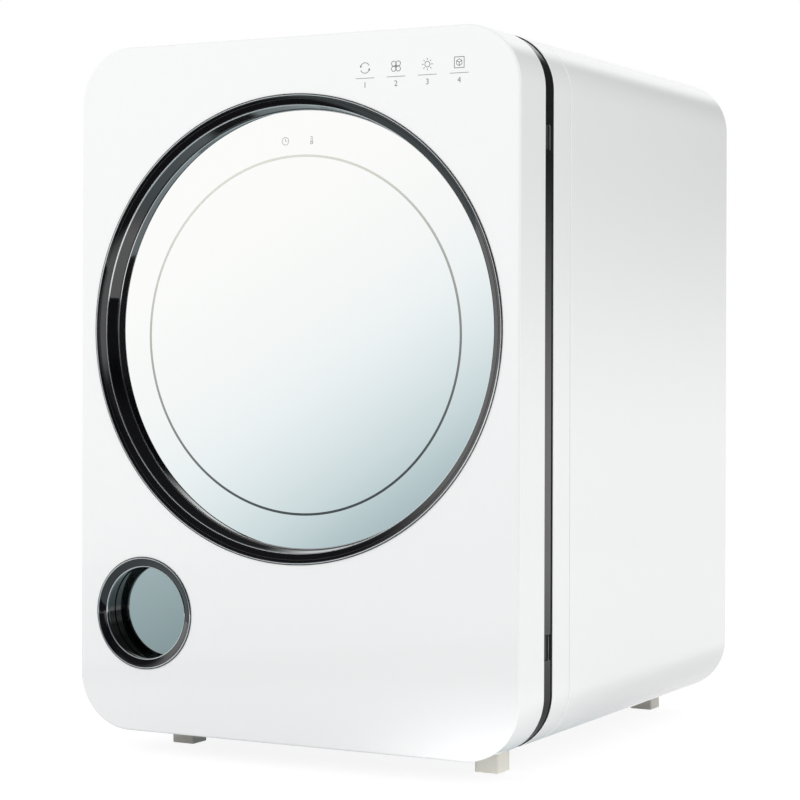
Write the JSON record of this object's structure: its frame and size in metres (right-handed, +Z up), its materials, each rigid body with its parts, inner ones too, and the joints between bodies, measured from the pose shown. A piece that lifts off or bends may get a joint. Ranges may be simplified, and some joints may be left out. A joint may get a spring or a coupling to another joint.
{
  "type": "UV baby bottle sterilizer",
  "caption": "Countertop UV sterilizer and dryer for baby bottles: white cabinet, hinged door with a round half-mirror window and a round finger pull, wire racks inside.",
  "frame": {"origin": "middle of the width and depth, on the surface the feet stand on", "axes": "+X to the viewer's right, +Y from the door to the back, +Z up"},
  "size_m": [0.306, 0.346, 0.443],
  "materials": {
    "white_shell": "gloss",
    "black_gloss": "high gloss",
    "bright_trim": "polished",
    "mirror_disc": "tinted mirror",
    "window_mirror": "half-mirror",
    "clear_glass": "clear",
    "stainless": "satin",
    "zinc_steel": "zinc plated",
    "foot_plastic": "matte",
    "grey_plastic": "matte",
    "dark_plastic": "matte",
    "bearing_plastic": "matte",
    "circuit_board": "satin",
    "motor_winding": "enamelled copper wire",
    "heater_alloy": "satin",
    "silicone": "matte",
    "filter_paper": "pleated non-woven"
  },
  "bodies": {
    "cabinet": {"front_bezel": "white_shell", "outer_shell": "white_shell", "rear_cover": "white_shell", "rear_screws": "zinc_steel", "power_inlet": "dark_plastic", "foot_front_left": "foot_plastic", "foot_front_right": "foot_plastic", "foot_rear_left": "foot_plastic", "foot_rear_right": "foot_plastic", "foot_screws": "zinc_steel", "chamber_liner": "stainless", "rack_rails": "stainless", "uv_lens_top": "clear_glass", "uv_lens_left": "clear_glass", "uv_lens_right": "clear_glass", "uv_module_top": "grey_plastic", "uv_module_left": "grey_plastic", "uv_module_right": "grey_plastic", "fan_grille": "stainless", "temp_sensor": "heater_alloy", "air_duct": "grey_plastic", "heater": "heater_alloy", "fan_frame": "dark_plastic", "fan_bearing": "bearing_plastic", "fan_stator": "motor_winding", "main_board": "circuit_board", "board_standoffs": "dark_plastic", "hinge_bracket_top": "zinc_steel", "hinge_bracket_bottom": "zinc_steel", "hinge_pins": "zinc_steel", "catch_plates": "zinc_steel", "door_sensor": "dark_plastic"},
    "door": {"door_shell": "white_shell", "window_trim_ring": "black_gloss", "window_bright_ring": "bright_trim", "window_glass": "window_mirror", "glass_retainer": "dark_plastic", "retainer_screws": "zinc_steel", "handle_trim_ring": "black_gloss", "handle_bright_ring": "bright_trim", "handle_cup": "black_gloss", "handle_disc": "mirror_disc", "touch_board": "circuit_board", "touch_pads": "bearing_plastic", "display_module": "dark_plastic", "display_board": "circuit_board", "door_band": "black_gloss", "band_screws": "zinc_steel", "door_magnets": "zinc_steel", "hinge_bushes": "bearing_plastic", "door_inner_liner": "grey_plastic", "inner_window": "clear_glass", "door_gasket": "silicone"},
    "upper_rack": {"upper_rack": "stainless"},
    "lower_rack": {"lower_rack": "stainless"},
    "drip_tray": {"drip_tray": "stainless"},
    "fan_rotor": {"fan_impeller": "dark_plastic"},
    "filter_cassette": {"filter_cover": "white_shell", "air_filter": "filter_paper"}
  },
  "joints": [
    {"name": "door_hinge", "type": "hinge", "parent": "cabinet", "child": "door", "pos_m": [0.1484, -0.1332, 0.229], "axis": [0, 0, 1], "range_deg": [0, 105]},
    {"name": "upper_rack_slide", "type": "slide", "parent": "cabinet", "child": "upper_rack", "axis": [0, -1, 0], "range_m": [0, 0.018]},
    {"name": "lower_rack_slide", "type": "slide", "parent": "cabinet", "child": "lower_rack", "axis": [0, -1, 0], "range_m": [0, 0.018]},
    {"name": "drip_tray_slide", "type": "slide", "parent": "cabinet", "child": "drip_tray", "axis": [0, -1, 0], "range_m": [0, 0.018]},
    {"name": "fan_spin", "type": "hinge", "parent": "cabinet", "child": "fan_rotor", "pos_m": [0, 0.1257, 0.169], "axis": [0, 1, 0], "continuous": true},
    {"name": "filter_slide", "type": "slide", "parent": "cabinet", "child": "filter_cassette", "axis": [0, 1, 0], "range_m": [0, 0.045]}
  ]
}
